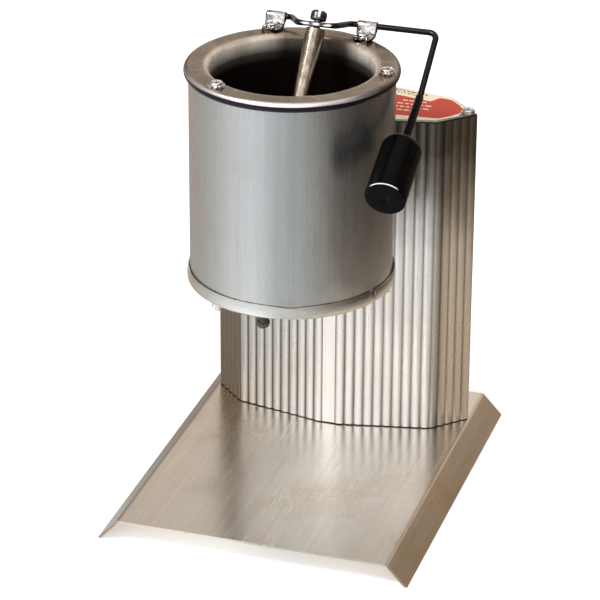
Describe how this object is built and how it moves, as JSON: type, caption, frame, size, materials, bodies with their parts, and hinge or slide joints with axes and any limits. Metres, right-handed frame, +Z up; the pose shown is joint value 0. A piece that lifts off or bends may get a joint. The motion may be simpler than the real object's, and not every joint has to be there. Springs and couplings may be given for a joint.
{
  "type": "bottom-pour metal melting furnace",
  "caption": "Electric bottom-pour melting pot on a ribbed column and folded base, with a side lever that lifts a slanted valve rod.",
  "frame": {"origin": "centre of the footprint at bench level, under the middle of the bounding box", "axes": "+Z up, +Y to the back where the column and dial are, +X to the lever side"},
  "size_m": [0.204, 0.257, 0.3237],
  "materials": {
    "base_sheet": "brushed sheet, light grain front to back",
    "column_extrusion": "bright ribbed extrusion",
    "cap_sheet": "satin sheet",
    "printed_label": "printed, satin, cream border",
    "zinc_fasteners": "bright zinc plate",
    "clip_steel": "bright zinc plate",
    "bracket_steel": "plain steel sheet",
    "pot_steel": "drawn steel, heat tinted brown",
    "sleeve_steel": "satin sheet, vertical streaks",
    "pan_steel": "satin sheet",
    "mica_band": "mica and sheet steel",
    "terminal_brass": "turned",
    "mineral_fibre": "compressed fibre",
    "spout_steel": "dark, oxidised",
    "rod_steel": "ground bar, heat tinted",
    "black_wire": "gloss black",
    "black_knob": "moulded, glossy",
    "black_plastic": "moulded, satin",
    "dial_metal": "satin, printed scale",
    "shaft_steel": "turned",
    "block_ceramic": "unglazed",
    "glass_sleeving": "woven glass"
  },
  "bodies": {
    "frame": {"base_plate": "base_sheet", "column_front_shell": "column_extrusion", "column_rear_shell": "column_extrusion", "column_cap": "cap_sheet", "cap_label": "printed_label", "cap_screws": "zinc_fasteners", "base_screws": "zinc_fasteners", "pot_bracket": "bracket_steel", "bracket_spacers": "zinc_fasteners", "bracket_column_screws": "zinc_fasteners", "bracket_column_nuts": "zinc_fasteners", "bracket_sleeve_screws": "zinc_fasteners", "bracket_sleeve_nuts": "zinc_fasteners", "crucible": "pot_steel", "pot_sleeve": "sleeve_steel", "bottom_pan": "pan_steel", "heating_band": "mica_band", "heater_terminals": "terminal_brass", "lagging_wrap": "mineral_fibre", "floor_pad": "mineral_fibre", "tie_bolts": "zinc_fasteners", "tie_bolt_nuts": "zinc_fasteners", "rim_washers": "zinc_fasteners", "clip_screw": "zinc_fasteners", "clip_nut": "zinc_fasteners", "left_clip": "clip_steel", "right_clip": "clip_steel", "pour_spout": "spout_steel", "spout_nut": "zinc_fasteners", "lead_conduit": "glass_sleeving", "heater_leads": "glass_sleeving", "thermostat_body": "black_plastic", "thermostat_nut": "zinc_fasteners", "dial_plate": "dial_metal", "terminal_block": "block_ceramic", "terminal_block_screw": "zinc_fasteners", "cord_bush": "black_plastic"},
    "lever": {"lever_wire": "black_wire", "lever_shank": "black_wire", "lever_knob": "black_knob"},
    "valve": {"valve_rod": "rod_steel"},
    "flow_screw": {"flow_screw": "rod_steel"},
    "dial": {"dial_shaft": "shaft_steel", "dial_knob": "black_plastic"}
  },
  "joints": [
    {"name": "lever_pivot", "type": "hinge", "parent": "frame", "child": "lever", "pos_m": [0, 0.0176, 0.309], "axis": [-1, 0, 0], "range_deg": [0, 16]},
    {"name": "rod_lift", "type": "slide", "parent": "frame", "child": "valve", "axis": [0.0635, 0.4996, 0.8639], "range_m": [0, 0.0063]},
    {"name": "flow_screw_turn", "type": "hinge", "parent": "valve", "child": "flow_screw", "pos_m": [0.0039, 0.0001, 0.322], "axis": [0.0635, 0.4996, 0.8639], "continuous": true},
    {"name": "dial_turn", "type": "hinge", "parent": "frame", "child": "dial", "pos_m": [0, 0.12, 0.078], "axis": [0, -1, 0], "range_deg": [0, 270]}
  ],
  "couplings": [
    {"joint": "rod_lift", "follows": "lever_pivot", "m_per_rad": 0.0221}
  ]
}
